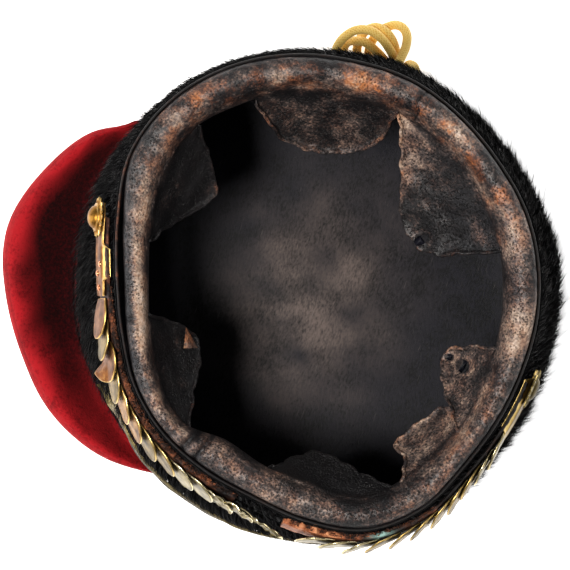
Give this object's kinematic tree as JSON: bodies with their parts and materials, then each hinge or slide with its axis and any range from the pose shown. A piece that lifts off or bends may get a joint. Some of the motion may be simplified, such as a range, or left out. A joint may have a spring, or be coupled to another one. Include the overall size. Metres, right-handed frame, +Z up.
{
  "type": "fur busby with cloth bag and scale chin strap",
  "caption": "Hussar fur busby lying upside down on its crown: stiff leather shell, dark fur, tongued sweatband, brass scale chin strap, front scroll, red cloth bag and gold cord loops",
  "frame": {"origin": "middle of the flat rest face under the crown, on the surface that the upturned hat stands on", "axes": "+Z up through the head opening, -Y towards the hat's front, -X towards the wearer's left, where the bag lies"},
  "size_m": [0.2752, 0.2633, 0.15],
  "materials": {
    "shell_leather": "smooth black, scuffed brown in the middle of the crown",
    "fur": "short slanting blackish fur, hairs 4 to 9 mm long",
    "red_cloth": "felted wool cloth, matt",
    "band_leather": "dark crackled leather worn tan on its crest",
    "brass": "aged, smooth with bright edges",
    "strap_leather": "worn brown, frayed edge",
    "gold_cord": "braided golden yellow cord"
  },
  "bodies": {
    "root": {"shell": "shell_leather", "crown_disc": "shell_leather", "fur_cover": "fur", "bag": "red_cloth", "rim_binding": "band_leather", "sweatband": "band_leather", "tongue_1": "band_leather", "tongue_2": "band_leather", "tongue_3": "band_leather", "tongue_4": "band_leather", "tongue_5": "band_leather", "tongue_6": "band_leather", "tongue_7": "band_leather", "bandeau": "brass", "left_strap_leather": "strap_leather", "left_end_plate": "brass", "left_rosette": "brass", "left_scale_01": "brass", "left_scale_02": "brass", "left_scale_03": "brass", "left_scale_04": "brass", "left_scale_05": "brass", "left_scale_06": "brass", "left_scale_07": "brass", "left_scale_08": "brass", "left_scale_09": "brass", "left_scale_10": "brass", "left_scale_11": "brass", "left_scale_12": "brass", "left_scale_13": "brass", "right_strap_leather": "strap_leather", "right_end_plate": "brass", "right_rosette": "brass", "right_scale_01": "brass", "right_scale_02": "brass", "right_scale_03": "brass", "right_scale_04": "brass", "right_scale_05": "brass", "right_scale_06": "brass", "right_scale_07": "brass", "right_scale_08": "brass", "right_scale_09": "brass", "right_scale_10": "brass", "right_scale_11": "brass", "cord_loop_1": "gold_cord", "cord_loop_2": "gold_cord", "cord_loop_3": "gold_cord", "cord_loop_4": "gold_cord", "cord_loop_5": "gold_cord"}
  },
  "joints": []
}
